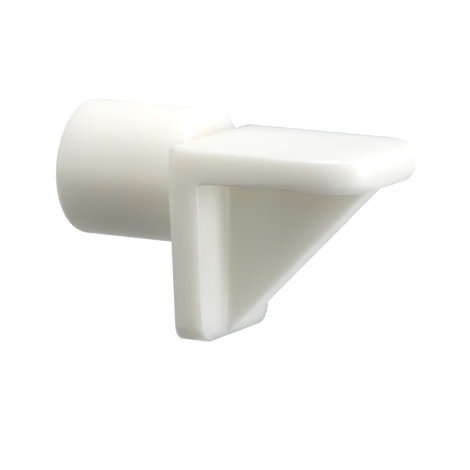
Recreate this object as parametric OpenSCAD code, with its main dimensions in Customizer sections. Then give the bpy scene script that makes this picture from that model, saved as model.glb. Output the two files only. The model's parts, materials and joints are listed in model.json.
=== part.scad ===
// Shelf support pin: a round peg, a seat for the shelf and a back plate,
// braced by one web, moulded as a single piece.
// The origin is on the peg's axis, in the plane of the back face.
// X runs out under the shelf, the peg points to -X, and Z is up.

/* [Peg] */
// Diameter of the peg
peg_d = 6.35; // [5:0.05:8]
// Length of the peg behind the back face
peg_len = 6.6; // [4:0.1:12]
// Radius of the rounding round the peg's free end
peg_end_r = 0.5; // [0.2:0.05:1]

/* [Seat] */
// Width of the seat
seat_w = 8; // [7.5:0.1:12]
// Length of the seat, from the back face to its outer end
seat_len = 9.5; // [8.5:0.1:16]
// Thickness of the seat
seat_t = 1.6; // [1.2:0.05:2.5]
// Radius of the seat's two outer corners, seen from above
seat_corner_r = 2.5; // [1:0.1:3.5]
// Radius of the rounding along the seat's top edge
seat_top_r = 0.15; // [0.1:0.05:0.5]
// Radius of the rounding along the seat's lower edge
seat_low_r = 0.5; // [0.1:0.05:0.6]
// Height of the seat's top above the peg's axis
seat_rise = 1.95; // [1.7:0.05:3]

/* [Back plate] */
// Height of the back plate, from the seat's top to its foot
back_h = 9.15; // [8:0.05:16]
// Thickness of the back plate
back_t = 1.45; // [1.2:0.05:2.5]
// Width of the back plate at its foot
foot_w = 6.4; // [4:0.1:7.5]
// Radius of the back plate's two foot corners
foot_corner_r = 0.8; // [0.4:0.05:1.5]
// Radius of the rounding along the back plate's outer edges
back_edge_r = 0.15; // [0.1:0.05:0.35]

/* [Web] */
// Thickness of the web
web_t = 1.9; // [1.2:0.1:3]
// Distance from the web's upper end to the seat's outer end
web_setback = 0.95; // [0.6:0.05:3]
// Distance from the web's lower end to the plate's foot
web_lift = 0.25; // [0.1:0.05:3]
// Radius of the rounding along the web's two sloping edges
web_edge_r = 0.25; // [0.1:0.05:0.5]
// Radius of the fillets in the two pockets
fillet_r = 0.15; // [0.1:0.05:0.8]

/* [Smoothness] */
// Segments round a full corner disc
disc_segments = 64; // [32:8:96]
// Steps along each rounded edge or fillet
arc_steps = 6; // [4:1:10]

/* [Hidden] */

plastic_white = [0.93, 0.93, 0.90];
peg_segments = 128;

seat_top = seat_rise;
seat_under = seat_top - seat_t;
foot_z = seat_top - back_h;

// The web's slope, from its lower end on the back plate to its upper end under the seat
web_low = [back_t, foot_z + web_lift];
web_high = [seat_len - web_setback, seat_under];
web_angle = atan2(web_high[1] - web_low[1], web_high[0] - web_low[0]);

// Points along an arc of radius r about centre c, from angle a to angle b
function arc(c, r, a, b) =
    [for (i = [0:arc_steps]) c + r * [cos(a + (b - a) * i / arc_steps), sin(a + (b - a) * i / arc_steps)]];

// Disc in the XY plane with its rim rounded by low_r below and by high_r above
module rim_disc(r, h, low_r, high_r) {
    low = arc([r - low_r, low_r], low_r, -90, 0);
    high = arc([r - high_r, h - high_r], high_r, 0, 90);
    rotate_extrude($fn = disc_segments)
        polygon(concat(
            [[0, low[0][1]]],
            low,
            high,
            [[0, high[arc_steps][1]]]
        ));
}

// Rectangle centred on the origin with its corners rounded by r
module soft_rectangle(w, h, r) {
    x = w / 2 - r;
    y = h / 2 - r;
    polygon(concat(
        arc([x, y], r, 0, 90),
        arc([-x, y], r, 90, 180),
        arc([-x, -y], r, 180, 270),
        arc([x, -y], r, 270, 360)
    ));
}

// Section of a wall that flares into a plate lying along the X axis, by a fillet on each side
module flared_section(wall, reach, embed) {
    half = wall / 2;
    polygon(concat(
        [[-half - fillet_r, -embed], [half + fillet_r, -embed]],
        arc([half + fillet_r, fillet_r], fillet_r, 270, 180),
        [[half, reach], [-half, reach]],
        arc([-half - fillet_r, fillet_r], fillet_r, 0, -90)
    ));
}

// Round peg with a softened free end
module peg() {
    r = peg_d / 2;
    rotate([0, -90, 0])
        rotate_extrude($fn = peg_segments)
            polygon(concat(
                [[0, 0], [r, 0]],
                arc([r - peg_end_r, peg_len - peg_end_r], peg_end_r, 0, 90),
                [[0, peg_len]]
            ));
}

// Plate that carries the shelf, with a soft rim, round outer corners and its inner end cut square
module seat() {
    intersection() {
        translate([0, 0, seat_under])
            hull()
                for (x = [-seat_corner_r, seat_len - seat_corner_r], side = [-1, 1])
                    translate([x, side * (seat_w / 2 - seat_corner_r), 0])
                        rim_disc(seat_corner_r, seat_t, seat_low_r, seat_top_r);
        translate([0, -seat_w, seat_under - seat_t])
            cube([2 * seat_len, 2 * seat_w, 3 * seat_t]);
    }
}

// Plate that bears on the cabinet side, as wide as the seat at its top and narrowing to its foot
module back_plate() {
    // Each corner is its distance from the mid-plane, its height and its radius
    corners = [
        [foot_w / 2, foot_z + foot_corner_r, foot_corner_r],
        [seat_w / 2, seat_under, back_edge_r],
        [seat_w / 2, seat_top - seat_t / 2, back_edge_r]
    ];
    hull()
        for (corner = corners, side = [-1, 1])
            translate([0, side * (corner[0] - corner[2]), corner[1]])
                rotate([0, 90, 0])
                    rim_disc(corner[2], back_t, 0, back_edge_r);
}

// Side view of the web, drawn back from its sloping edge by a distance
module web_outline(inset) {
    shift = inset * [-sin(web_angle), cos(web_angle)];
    polygon([
        [back_t / 2, seat_top - seat_t / 2],
        [web_high[0] + shift[0], seat_top - seat_t / 2],
        web_high + shift,
        web_low + shift,
        [back_t / 2, web_low[1] + shift[1]]
    ]);
}

// Slab of the web's side view, centred on the mid-plane
module web_slab(width, inset) {
    rotate([90, 0, 0])
        linear_extrude(width, center = true)
            web_outline(inset);
}

// Brace between the two plates, with soft sloping edges and a fillet against each plate
module web() {
    span = seat_len + back_h;
    flare_w = web_t + 2 * fillet_r;
    intersection() {
        web_slab(web_t, 0);
        translate([web_low[0], 0, web_low[1]])
            rotate([0, -web_angle, 0])
                rotate([90, 0, 90])
                    linear_extrude(2 * span, center = true)
                        translate([0, span / 2])
                            soft_rectangle(web_t, span, web_edge_r);
    }
    intersection() {
        web_slab(flare_w, web_edge_r);
        union() {
            translate([back_t, 0, foot_z])
                rotate([0, 0, -90])
                    linear_extrude(back_h)
                        flared_section(web_t, seat_len, back_t / 2);
            translate([0, 0, seat_under])
                rotate([-90, 0, -90])
                    linear_extrude(seat_len)
                        flared_section(web_t, back_h, seat_t / 2);
        }
    }
}

// Fillet in the inner corner between the seat and the back plate, as wide as the seat's flat underside
module corner_fillet() {
    w = seat_w - 2 * seat_low_r;
    rotate([90, 0, 0])
        linear_extrude(w, center = true)
            polygon(concat(
                [[back_t / 2, seat_under + seat_t / 2], [back_t / 2, seat_under - fillet_r]],
                arc([back_t + fillet_r, seat_under - fillet_r], fillet_r, 180, 90),
                [[back_t + fillet_r, seat_under + seat_t / 2]]
            ));
}

module shelf_support() {
    color(plastic_white)
        union() {
            peg();
            seat();
            back_plate();
            web();
            corner_fillet();
        }
}

shelf_support();
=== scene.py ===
"""Shelf support pin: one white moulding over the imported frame, on a plain studio floor."""

import json
import math
from types import SimpleNamespace

import bmesh
import bpy
from bpy.props import FloatProperty, FloatVectorProperty, IntProperty, PointerProperty
from bpy.types import Operator, Panel, PropertyGroup
from mathutils import Matrix, Vector


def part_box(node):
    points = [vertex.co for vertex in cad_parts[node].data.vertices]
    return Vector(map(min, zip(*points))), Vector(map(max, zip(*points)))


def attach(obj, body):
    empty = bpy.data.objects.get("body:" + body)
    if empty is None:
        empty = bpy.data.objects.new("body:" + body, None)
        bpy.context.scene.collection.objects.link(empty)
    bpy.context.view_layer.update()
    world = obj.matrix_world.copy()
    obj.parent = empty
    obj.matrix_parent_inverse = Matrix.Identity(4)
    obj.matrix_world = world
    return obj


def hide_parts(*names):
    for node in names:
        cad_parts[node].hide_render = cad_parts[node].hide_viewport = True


bl_info = {
    "name": "Shelf support pin",
    "version": (1, 0, 0),
    "blender": (4, 5, 0),
    "location": "3D View > Sidebar > Shelf Support",
    "description": "Moulds a white plastic shelf support over its packed frame, in a studio",
    "category": "Object",
}

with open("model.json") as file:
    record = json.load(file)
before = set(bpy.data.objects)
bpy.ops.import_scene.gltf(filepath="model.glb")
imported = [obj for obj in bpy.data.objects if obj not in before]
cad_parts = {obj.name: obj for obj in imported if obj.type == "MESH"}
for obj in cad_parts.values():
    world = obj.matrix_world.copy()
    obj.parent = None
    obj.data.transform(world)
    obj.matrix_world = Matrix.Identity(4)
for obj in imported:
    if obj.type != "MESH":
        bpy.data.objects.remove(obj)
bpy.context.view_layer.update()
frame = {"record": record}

BODY = "root"
NODE = "shelf_support"

NODE_LOW, NODE_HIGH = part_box(NODE)
MOUNTS = {mount["name"]: mount for mount in frame["record"]["mounts"]}
PEG_RADIUS = MOUNTS["peg"]["dims"]["r_mm"] / 1000
PEG_STRAIGHT = MOUNTS["peg"]["dims"]["length_mm"] / 1000
SEAT_TOP = MOUNTS["shelf_seat"]["pos_m"][2]

# Blender's bevels merge corners that are a ten-thousandth of a unit apart, so the mesh is made in
# millimetres
MM = 1000.0
SIDES = (-1, 1)

# Faces round each outline corner, as a multiple of the faces across a rounded edge
SEAT_CORNER_STEPS = 6
FOOT_CORNER_STEPS = 2
# Faces that meet at a wider angle than this keep a crisp edge
CRISP_ANGLE = math.radians(32)


def length(name, default, description, low=0.0, high=0.05):
    """A length that a user may change, in metres."""
    return FloatProperty(
        name=name,
        description=description,
        default=default,
        min=low,
        max=high,
        precision=5,
        subtype="DISTANCE",
        unit="LENGTH",
    )


def angle(name, default, description):
    """An angle that a user may change, given in degrees and held in radians."""
    return FloatProperty(
        name=name,
        description=description,
        default=math.radians(default),
        subtype="ANGLE",
        unit="ROTATION",
    )


def colour(name, default, description):
    """A linear colour that a user may change."""
    return FloatVectorProperty(
        name=name, description=description, default=default, size=3, min=0.0, max=1.0, subtype="COLOR"
    )


def share(name, default, description, high=1.0):
    """A plain factor that a user may change."""
    return FloatProperty(
        name=name, description=description, default=default, min=0.0, max=high, precision=4
    )


# ---------------------------------------------------------------- sizes and finishes


class MouldingSizes(PropertyGroup):
    """Sizes of the moulding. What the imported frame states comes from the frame."""

    peg_radius: length("Peg radius", PEG_RADIUS, "Radius of the peg")
    peg_length: length("Peg length", -NODE_LOW.x, "Length of the peg behind the back face")
    peg_rounding: length("Peg rounding", -NODE_LOW.x - PEG_STRAIGHT, "Rounding at the peg's free end")
    seat_top: length("Seat height", SEAT_TOP, "Height of the seat's top above the peg's axis")
    seat_length: length("Seat length", NODE_HIGH.x, "Length of the seat from the back face")
    seat_width: length("Seat width", NODE_HIGH.y - NODE_LOW.y, "Width of the seat")
    seat_thickness: length("Seat thickness", 0.0016, "Thickness of the seat")
    seat_corner: length("Seat corners", 0.0025, "Radius of the seat's outer corners, seen from above")
    seat_top_edge: length("Seat top edge", 0.00015, "Rounding along the seat's top edge")
    seat_low_edge: length("Seat lower edge", 0.0005, "Rounding along the seat's lower edge")
    foot_drop: length("Foot depth", -NODE_LOW.z, "Depth of the back plate's foot below the peg's axis")
    back_thickness: length("Back thickness", 0.00145, "Thickness of the back plate")
    foot_width: length("Foot width", 0.0064, "Width of the back plate at its foot")
    foot_corner: length("Foot corners", 0.0008, "Radius of the back plate's foot corners")
    back_edge: length("Back edges", 0.00009, "Rounding along the back plate's outer edges")
    web_thickness: length("Web thickness", 0.0019, "Thickness of the web")
    web_setback: length("Web setback", 0.00083, "Distance from the web to the seat's outer end")
    web_lift: length("Web lift", 0.000125, "Distance from the web to the back plate's foot")
    web_edge: length("Web edges", 0.0003, "Rounding along the web's sloping edges")
    web_root: length("Web root", 0.00038, "Fillets between the web and the back plate")
    web_end: length("Web ends", 0.00003, "Fillets at the two ends of the web's sloping face")
    fillet: length("Seat fillets", 0.00015, "Fillets between the seat's underside and the walls below")
    edge_steps: IntProperty(
        name="Edge steps", description="Faces across each rounded edge", default=6, min=2, max=12
    )
    peg_segments: IntProperty(
        name="Peg segments", description="Faces round the peg", default=128, min=32, max=256
    )


# The finest scale that a pattern may be given
FINEST = 100000.0


class PlasticFinish(PropertyGroup):
    """Colour and surface of the moulded plastic."""

    white: colour("White", (0.83, 0.825, 0.78), "Colour of the plastic")
    shade: colour("Shade", (0.78, 0.77, 0.71), "Colour where the plastic is slightly duller")
    roughness: share("Roughness", 0.33, "Roughness of the moulded skin")
    unevenness: share("Unevenness", 0.12, "How much the roughness varies from place to place")
    glow: share("Glow", 1.0, "How much light the plastic scatters under its skin")
    glow_depth: length("Glow depth", 0.003, "How far light travels inside the plastic")
    grain: length("Grain", 0.000005, "Depth of the moulded skin's fine grain")
    grain_scale: share("Grain scale", 9000.0, "How fine the grain is", high=FINEST)
    cloud_scale: share("Cloud scale", 260.0, "How fine the skin's uneven patches are", high=FINEST)


class StudioSettings(PropertyGroup):
    """Camera, floor and lamps."""

    azimuth: angle("Azimuth", 27.55, "Camera's turn round the part, from straight in front")
    elevation: angle("Elevation", 10.45, "Camera's height above the level")
    roll: angle("Roll", 0.57, "Camera's turn about its own line of sight")
    distance: length("Distance", 0.2, "Distance from the camera to what it aims at", high=2.0)
    aim: FloatVectorProperty(
        name="Aim",
        description="Point that the camera aims at",
        default=(0.00134, 0.0, -0.00261),
        size=3,
        precision=5,
        subtype="TRANSLATION",
        unit="LENGTH",
    )
    lens: FloatProperty(
        name="Lens",
        description="Focal length in millimetres",
        default=331.5,
        min=10,
        max=5000,
        unit="CAMERA",
    )
    floor_gap: length("Floor gap", 0.03, "Gap between the part's foot and the floor")
    sky: share("Sky", 0.42, "Brightness of the even light from all round")
    sky_tint: colour("Sky tint", (0.95, 0.96, 1.0), "Colour of the even light")
    lamps: share("Lamps", 1.0, "Brightness of all the lamps together", high=2.0)


# ---------------------------------------------------------------- nodes written as expressions


class Value:
    """A socket in a node tree. Arithmetic on it adds the Math nodes that work it out."""

    def __init__(self, tree, socket):
        self.tree = tree
        self.socket = socket

    def _math(self, operation, *values):
        return self.tree.add(self.tree.math_node, {"operation": operation}, dict(enumerate(values)))

    def __add__(self, other):
        return self._math("ADD", self, other)

    def __sub__(self, other):
        return self._math("SUBTRACT", self, other)

    def __rsub__(self, other):
        return self._math("SUBTRACT", other, self)

    def __mul__(self, other):
        return self._math("MULTIPLY", self, other)

    def __truediv__(self, other):
        return self._math("DIVIDE", self, other)

    def __rtruediv__(self, other):
        return self._math("DIVIDE", other, self)

    __radd__ = __add__
    __rmul__ = __mul__

    def at_least(self, other):
        return self._math("MAXIMUM", self, other)

    def at_most(self, other):
        return self._math("MINIMUM", self, other)

    def sine(self):
        return self._math("SINE", self)

    def cosine(self):
        return self._math("COSINE", self)


class Tree:
    """A node tree that is built by naming nodes and what goes into their sockets."""

    math_node = "ShaderNodeMath"

    def __init__(self, nodes_and_links):
        self.nodes = nodes_and_links.nodes
        self.links = nodes_and_links.links

    def node(self, kind, settings=None, inputs=None):
        """Adds a node, sets its settings, then its sockets, by name or number, to values or links."""
        node = self.nodes.new(kind)
        for name, value in (settings or {}).items():
            setattr(node, name, value)
        for key, value in (inputs or {}).items():
            if isinstance(value, Value):
                self.links.new(value.socket, node.inputs[key])
            else:
                node.inputs[key].default_value = value
        return node

    def add(self, kind, settings=None, inputs=None, output=0):
        """Adds a node and gives one of its outputs."""
        return Value(self, self.node(kind, settings, inputs).outputs[output])


# ---------------------------------------------------------------- the moulding's mesh


def in_millimetres(sizes):
    """The sizes as plain numbers in millimetres, with the counts left as they are."""
    names = [name for name in sizes.bl_rna.properties.keys() if name not in ("rna_type", "name")]
    numbers = {name: getattr(sizes, name) for name in names}
    return SimpleNamespace(
        **{name: n * MM if isinstance(n, float) else n for name, n in numbers.items()}
    )


FACE_ROLES = ("top", "side", "under", "back", "plate_side", "plate_front", "web_side", "web_slope")
ROLE = {name: number for number, name in enumerate(FACE_ROLES)}


def bracket_corners(mm):
    """The bracket's corners before any rounding, by name and side."""
    under = mm.seat_top - mm.seat_thickness
    foot = -mm.foot_drop
    half_seat, half_foot, half_web = mm.seat_width / 2, mm.foot_width / 2, mm.web_thickness / 2
    places = {
        "top_back": (0, half_seat, mm.seat_top),
        "top_front": (mm.seat_length, half_seat, mm.seat_top),
        "rim_back": (0, half_seat, under),
        "rim_inner": (mm.back_thickness, half_seat, under),
        "rim_front": (mm.seat_length, half_seat, under),
        "foot_back": (0, half_foot, foot),
        "foot_front": (mm.back_thickness, half_foot, foot),
        "web_root": (mm.back_thickness, half_web, under),
        "web_high": (mm.seat_length - mm.web_setback, half_web, under),
        "web_low": (mm.back_thickness, half_web, foot + mm.web_lift),
    }
    return {(name, side): (x, side * y, z) for name, (x, y, z) in places.items() for side in SIDES}


def bracket_faces():
    """Each face of the bracket as its role and its corners, in order round the face."""
    left, right = SIDES

    def ring(*names):
        """Names along one side and back along the other."""
        return [(name, left) for name in names] + [(name, right) for name in reversed(names)]

    faces = [
        ("top", ring("top_back", "top_front")),
        ("side", ring("top_front", "rim_front")),
        ("back", ring("top_back", "rim_back", "foot_back")),
        ("plate_side", ring("foot_back", "foot_front")),
        ("under", ring("rim_front", "rim_inner", "web_root", "web_high")),
        ("plate_front", ring("foot_front", "rim_inner", "web_root", "web_low")),
        ("web_slope", ring("web_high", "web_low")),
    ]
    paired = (
        ("side", ("top_back", "top_front", "rim_front", "rim_inner", "rim_back")),
        ("plate_side", ("rim_back", "rim_inner", "foot_front", "foot_back")),
        ("web_side", ("web_root", "web_high", "web_low")),
    )
    faces += [(role, [(name, side) for name in names]) for side in SIDES for role, names in paired]
    return faces


def rounding_between(mm):
    """Radius of the rounding or fillet between faces of two roles."""
    radii = {
        ("top", "side"): mm.seat_top_edge,
        ("side", "under"): mm.seat_low_edge,
        ("plate_side", "plate_front"): mm.back_edge,
        ("under", "plate_front"): mm.fillet,
        ("under", "web_side"): mm.fillet,
        ("plate_front", "web_side"): mm.web_root,
        ("plate_front", "web_slope"): mm.web_end,
        ("under", "web_slope"): mm.web_end,
        ("web_side", "web_slope"): mm.web_edge,
    }
    return {frozenset(ROLE[name] for name in pair): radius for pair, radius in radii.items()}


def bracket_mesh(mm):
    """The seat, back plate and web as one closed mesh, its corners round and its edges weighted."""
    bm = bmesh.new()
    corners = {key: bm.verts.new(place) for key, place in bracket_corners(mm).items()}
    for role, keys in bracket_faces():
        bm.faces.new([corners[key] for key in keys]).material_index = ROLE[role]
    bmesh.ops.recalc_face_normals(bm, faces=bm.faces)
    for names, radius, steps in (
        (("top_front", "rim_front"), mm.seat_corner, SEAT_CORNER_STEPS * mm.edge_steps),
        (("foot_back", "foot_front"), mm.foot_corner, FOOT_CORNER_STEPS * mm.edge_steps),
    ):
        edges = [bm.edges.get([corners[names[0], side], corners[names[1], side]]) for side in SIDES]
        bmesh.ops.bevel(
            bm,
            geom=edges,
            affect="EDGES",
            offset_type="OFFSET",
            offset=radius,
            segments=steps,
            profile=0.5,
            material=-1,
        )
    weights = bm.edges.layers.float.new("bevel_weight_edge")
    radii = rounding_between(mm)
    widest = max(radii.values())
    for edge in bm.edges:
        roles = frozenset(face.material_index for face in edge.link_faces)
        edge[weights] = radii.get(roles, 0.0) / widest
    mesh = bpy.data.meshes.new("bracket")
    bm.to_mesh(mesh)
    bm.free()
    return mesh, widest


def turned_peg_tree(material):
    """Geometry Nodes: a peg swept along -X with a rounded end, joined to the mesh that comes in."""
    group = bpy.data.node_groups.new("turned_peg", "GeometryNodeTree")
    panel = group.interface
    panel.new_socket("Geometry", in_out="INPUT", socket_type="NodeSocketGeometry")
    for name in ("Radius", "Length", "Rounding"):
        panel.new_socket(name, in_out="INPUT", socket_type="NodeSocketFloat")
    for name in ("Segments", "Steps"):
        panel.new_socket(name, in_out="INPUT", socket_type="NodeSocketInt")
    panel.new_socket("Geometry", in_out="OUTPUT", socket_type="NodeSocketGeometry")

    tree = Tree(group)
    entry = tree.node("NodeGroupInput")
    bracket, radius, reach_back, rounding, segments, steps = (Value(tree, s) for s in entry.outputs[:6])

    # Ring 0 is at the back face, ring 1 ends the straight part and the rest go round the end
    ring = tree.add("GeometryNodeInputIndex")
    turn = (ring - 1).at_least(0) / steps * (math.pi / 2)
    along = (reach_back - rounding) * ring.at_most(1) + rounding * turn.sine()
    reach = radius - rounding * (1 - turn.cosine())

    line = tree.add(
        "GeometryNodeCurvePrimitiveLine", {"mode": "POINTS"}, {"Start": (0, 0, 0), "End": (-1, 0, 0)}
    )
    spine = tree.add(
        "GeometryNodeResampleCurve", {"mode": "COUNT"}, {"Curve": line, "Count": steps + 2}
    )
    place = tree.add("ShaderNodeCombineXYZ", None, {"X": 0 - along})
    spine = tree.add("GeometryNodeSetPosition", None, {"Geometry": spine, "Position": place})
    outline = tree.add(
        "GeometryNodeCurvePrimitiveCircle", None, {"Resolution": segments, "Radius": 1.0}
    )
    peg = tree.add(
        "GeometryNodeCurveToMesh",
        None,
        {"Curve": spine, "Profile Curve": outline, "Scale": reach, "Fill Caps": True},
    )
    union = tree.node("GeometryNodeMeshBoolean", {"operation": "UNION", "solver": "EXACT"})
    for part in (bracket, peg):
        tree.links.new(part.socket, union.inputs["Mesh 2"])
    whole = Value(tree, union.outputs["Mesh"])
    joined = tree.add("GeometryNodeRealizeInstances", None, {"Geometry": whole})
    finished = tree.add("GeometryNodeSetMaterial", None, {"Geometry": joined, "Material": material})
    tree.node("NodeGroupOutput", None, {"Geometry": finished})
    return group


def set_inputs(modifier, values):
    """Sets a Geometry Nodes modifier's inputs by their names, through the sockets' identifiers."""
    for item in modifier.node_group.interface.items_tree:
        if item.item_type == "SOCKET" and item.in_out == "INPUT" and item.name in values:
            modifier[item.identifier] = values[item.name]


def plain_mesh(piece, name):
    """The evaluated piece as a plain mesh, with the modifiers left behind."""
    depsgraph = bpy.context.evaluated_depsgraph_get()
    mesh = bpy.data.meshes.new_from_object(piece.evaluated_get(depsgraph), depsgraph=depsgraph)
    mesh.name = name
    return mesh


def moulding_piece(mm, material):
    """The whole moulding as one object, in metres, at the origin."""
    mesh, widest = bracket_mesh(mm)
    piece = bpy.data.objects.new("shelf_support_moulding", mesh)
    bpy.context.scene.collection.objects.link(piece)

    bevel = piece.modifiers.new("Rounded edges and fillets", "BEVEL")
    bevel.limit_method = "WEIGHT"
    bevel.width = widest
    bevel.segments = mm.edge_steps
    bevel.miter_outer = "MITER_ARC"
    bevel.use_clamp_overlap = False

    peg = piece.modifiers.new("Turned peg", "NODES")
    peg.node_group = turned_peg_tree(material)
    set_inputs(
        peg,
        {
            "Radius": mm.peg_radius,
            "Length": mm.peg_length,
            "Rounding": mm.peg_rounding,
            "Segments": mm.peg_segments,
            "Steps": mm.edge_steps,
        },
    )
    finished = plain_mesh(piece, "shelf_support_moulding")
    piece.modifiers.clear()
    piece.data = finished
    finished.transform(Matrix.Scale(1 / MM, 4))
    finished.shade_smooth()
    finished.set_sharp_from_angle(angle=CRISP_ANGLE)

    normals = piece.modifiers.new("Flat faces stay flat", "WEIGHTED_NORMAL")
    normals.keep_sharp = True
    normals.weight = 100
    piece.data = plain_mesh(piece, "shelf_support_moulding")
    piece.modifiers.clear()
    return piece


# ---------------------------------------------------------------- materials


PLASTIC_IOR = 1.5
# How far red, green and blue light travel inside the plastic, each as a share of the glow depth
GLOW_BY_COLOUR = (1.0, 0.95, 0.8)


def new_material(name):
    """An empty material and its tree."""
    material = bpy.data.materials.new(name)
    material.use_nodes = True
    material.node_tree.nodes.clear()
    return material, Tree(material.node_tree)


def moulded_plastic(finish):
    """White plastic as it leaves the mould: soft sheen, fine grain and a slightly uneven white."""
    material, tree = new_material("moulded_white_plastic")
    place = tree.add("ShaderNodeTexCoord", output="Object")
    cloud, grain = (
        tree.add("ShaderNodeTexNoise", None, {"Vector": place, "Scale": scale, "Detail": detail})
        for scale, detail in ((finish.cloud_scale, 3.0), (finish.grain_scale, 2.0))
    )
    tint = tree.add(
        "ShaderNodeMix",
        {"data_type": "RGBA"},
        {"Factor": cloud, "A": (*finish.white, 1), "B": (*finish.shade, 1)},
        output="Result",
    )
    # The uneven patches stand twice as high as the grain
    relief = grain * finish.grain + cloud * (finish.grain * 2)
    bump = tree.add("ShaderNodeBump", None, {"Height": relief, "Strength": 1.0, "Distance": 1.0})
    surface = tree.node(
        "ShaderNodeBsdfPrincipled",
        {"subsurface_method": "RANDOM_WALK"},
        {
            "Roughness": cloud * finish.unevenness + (finish.roughness - finish.unevenness / 2),
            "IOR": PLASTIC_IOR,
            "Subsurface Weight": finish.glow,
            "Subsurface Radius": GLOW_BY_COLOUR,
            "Subsurface Scale": finish.glow_depth,
            "Normal": bump,
        },
    )
    tree.links.new(tint.socket, surface.inputs["Base Color"])
    tree.node("ShaderNodeOutputMaterial", None, {"Surface": Value(tree, surface.outputs["BSDF"])})
    return material


# ---------------------------------------------------------------- the stage


def camera_seen(tree):
    """1 for what is seen, straight, in a gloss or through glass, and 0 for light on the part."""
    rays = tree.node("ShaderNodeLightPath")
    return (
        Value(tree, rays.outputs["Is Camera Ray"])
        .at_least(Value(tree, rays.outputs["Is Glossy Ray"]))
        .at_least(Value(tree, rays.outputs["Is Transmission Ray"]))
    )


FLOOR_RADIUS = 3.0
# The floor as it is seen: its own white, plus what light and shadow add on a grey card
FLOOR_WHITE = 0.94
FLOOR_CARD = (0.25, 0.25, 0.25)
# The floor as it lights the part, which is darker so that the underside stays in shade
FLOOR_BOUNCE = (0.1, 0.1, 0.09)


def floor_material():
    """A pale floor that keeps the part's shadow and is clear from below."""
    material, tree = new_material("pale_floor")
    card = tree.add("ShaderNodeBsdfDiffuse", None, {"Color": (*FLOOR_CARD, 1)})
    white = tree.add("ShaderNodeEmission", None, {"Color": (1, 1, 1, 1), "Strength": FLOOR_WHITE})
    shown = tree.add("ShaderNodeAddShader", None, {0: card, 1: white})
    bounce = tree.add("ShaderNodeBsdfDiffuse", None, {"Color": (*FLOOR_BOUNCE, 1)})
    above = tree.add("ShaderNodeMixShader", None, {0: camera_seen(tree), 1: bounce, 2: shown})
    clear = tree.add("ShaderNodeBsdfTransparent")
    below = tree.add("ShaderNodeNewGeometry", output="Backfacing")
    mixed = tree.add("ShaderNodeMixShader", None, {0: below, 1: above, 2: clear})
    tree.node("ShaderNodeOutputMaterial", None, {"Surface": mixed})
    return material


def floor_piece(gap):
    """A wide round floor below the part's foot."""
    bm = bmesh.new()
    bmesh.ops.create_circle(bm, cap_ends=True, segments=64, radius=FLOOR_RADIUS)
    bmesh.ops.translate(bm, verts=bm.verts, vec=(0, 0, NODE_LOW.z - gap))
    mesh = bpy.data.meshes.new("floor")
    bm.to_mesh(mesh)
    bm.free()
    mesh.materials.append(floor_material())
    floor = bpy.data.objects.new("floor", mesh)
    bpy.context.scene.collection.objects.link(floor)
    return floor


def studio_world(strength, tint):
    """Even light from all round, with a white backdrop for the camera."""
    world = bpy.data.worlds.new("studio")
    world.use_nodes = True
    world.node_tree.nodes.clear()
    tree = Tree(world.node_tree)
    light = tree.add("ShaderNodeBackground", None, {"Color": (*tint, 1), "Strength": strength})
    white = tree.add("ShaderNodeBackground", None, {"Color": (1, 1, 1, 1), "Strength": 1.0})
    mixed = tree.add("ShaderNodeMixShader", None, {0: camera_seen(tree), 1: light, 2: white})
    tree.node("ShaderNodeOutputWorld", None, {"Surface": mixed})
    bpy.context.scene.world = world


# Each lamp's name, azimuth and elevation in degrees, distance in metres, brightness, tint and width as
# a share of its distance
LAMPS = (
    ("top", 0, 75, 0.05, 0.59, (0.98, 0.99, 1.0), 0.4),
    ("low_right", 95, 3, 0.15, 0.56, (0.97, 0.98, 1.0), 0.3),
    ("high_right", 95, 42, 0.3, 0.18, (0.9, 0.9, 1.0), 0.4),
    ("under_right", 95, -25, 0.065, 0.11, (0.97, 1.0, 0.92), 0.4),
    ("edge_right", 78, -13, 0.15, 0.12, (1.0, 1.0, 1.0), 0.2),
    ("left", -60, 5, 0.15, 0.195, (1.0, 0.93, 0.82), 0.4),
    ("front", -25, 5, 0.15, 0.07, (1.0, 0.95, 0.7), 0.4),
)


def orbit(azimuth, elevation):
    """Unit vector from the part towards a place round it. Azimuth 0 is in front, on -Y."""
    level = math.cos(elevation)
    return Vector((math.sin(azimuth) * level, -math.cos(azimuth) * level, math.sin(elevation)))


def soft_lamp(name, azimuth, elevation, distance, brightness, tint, spread):
    """A square lamp that faces the part and lights a white surface square to it to the brightness."""
    lamp = bpy.data.lights.new(name, "AREA")
    lamp.shape = "SQUARE"
    lamp.size = spread * distance
    lamp.energy = brightness * (math.pi * distance) ** 2
    lamp.color = tint
    holder = bpy.data.objects.new(name, lamp)
    back = orbit(math.radians(azimuth), math.radians(elevation))
    holder.location = back * distance
    holder.rotation_euler = back.to_track_quat("Z", "Y").to_euler()
    bpy.context.scene.collection.objects.link(holder)
    return holder


# The camera's film width in millimetres, and the nearest and farthest that it sees in metres
SENSOR_WIDTH = 36.0
CAMERA_CLIP = (0.01, 10.0)


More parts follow.
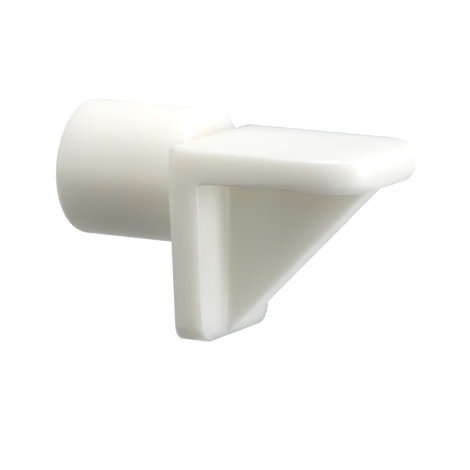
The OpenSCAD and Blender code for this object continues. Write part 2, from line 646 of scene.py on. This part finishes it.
def studio_camera(studio):
    """A long lens on the part, level but for a slight roll."""
    camera = bpy.data.cameras.new("camera")
    camera.lens = studio.lens
    camera.sensor_width = SENSOR_WIDTH
    camera.clip_start, camera.clip_end = CAMERA_CLIP
    holder = bpy.data.objects.new("camera", camera)
    back = orbit(studio.azimuth, studio.elevation)
    holder.location = Vector(studio.aim) + back * studio.distance
    facing = (-back).to_track_quat("-Z", "Y").to_matrix()
    roll = Matrix.Rotation(-studio.roll, 3, -back)
    holder.rotation_euler = (roll @ facing).to_euler()
    bpy.context.scene.collection.objects.link(holder)
    bpy.context.scene.camera = holder


# ---------------------------------------------------------------- operators


class SHELF_OT_moulding(Operator):
    """Moulds the seat, back plate, web and peg as one piece of white plastic"""

    bl_idname = "shelf.moulding"
    bl_label = "Moulding"

    def execute(self, context):
        scene = context.scene
        material = moulded_plastic(scene.plastic_finish)
        piece = moulding_piece(in_millimetres(scene.moulding_sizes), material)
        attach(piece, BODY)
        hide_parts(NODE)
        return {"FINISHED"}


class SHELF_OT_studio(Operator):
    """Sets up the floor, the lamps, the backdrop and the camera"""

    bl_idname = "shelf.studio"
    bl_label = "Studio"

    def execute(self, context):
        studio = context.scene.studio_settings
        floor_piece(studio.floor_gap)
        studio_world(studio.sky, studio.sky_tint)
        for name, azimuth, elevation, distance, brightness, tint, spread in LAMPS:
            soft_lamp(name, azimuth, elevation, distance, brightness * studio.lamps, tint, spread)
        studio_camera(studio)
        context.scene.view_settings.view_transform = "Standard"
        return {"FINISHED"}


class SHELF_PT_panel(Panel):
    """Lists the steps that build the part and its studio"""

    bl_idname = "SHELF_PT_panel"
    bl_label = "Shelf support pin"
    bl_space_type = "VIEW_3D"
    bl_region_type = "UI"
    bl_category = "Shelf Support"

    def draw(self, context):
        for step in STEPS:
            self.layout.operator(step.bl_idname)


STEPS = (SHELF_OT_moulding, SHELF_OT_studio)
GROUPS = {
    "moulding_sizes": MouldingSizes,
    "plastic_finish": PlasticFinish,
    "studio_settings": StudioSettings,
}


def register():
    for kind in (*GROUPS.values(), *STEPS, SHELF_PT_panel):
        bpy.utils.register_class(kind)
    for name, kind in GROUPS.items():
        setattr(bpy.types.Scene, name, PointerProperty(type=kind))


def unregister():
    for name in GROUPS:
        delattr(bpy.types.Scene, name)
    for kind in reversed((*GROUPS.values(), *STEPS, SHELF_PT_panel)):
        bpy.utils.unregister_class(kind)


def main():
    register()
    bpy.ops.shelf.moulding()
    bpy.ops.shelf.studio()


if __name__ == "__main__":
    main()
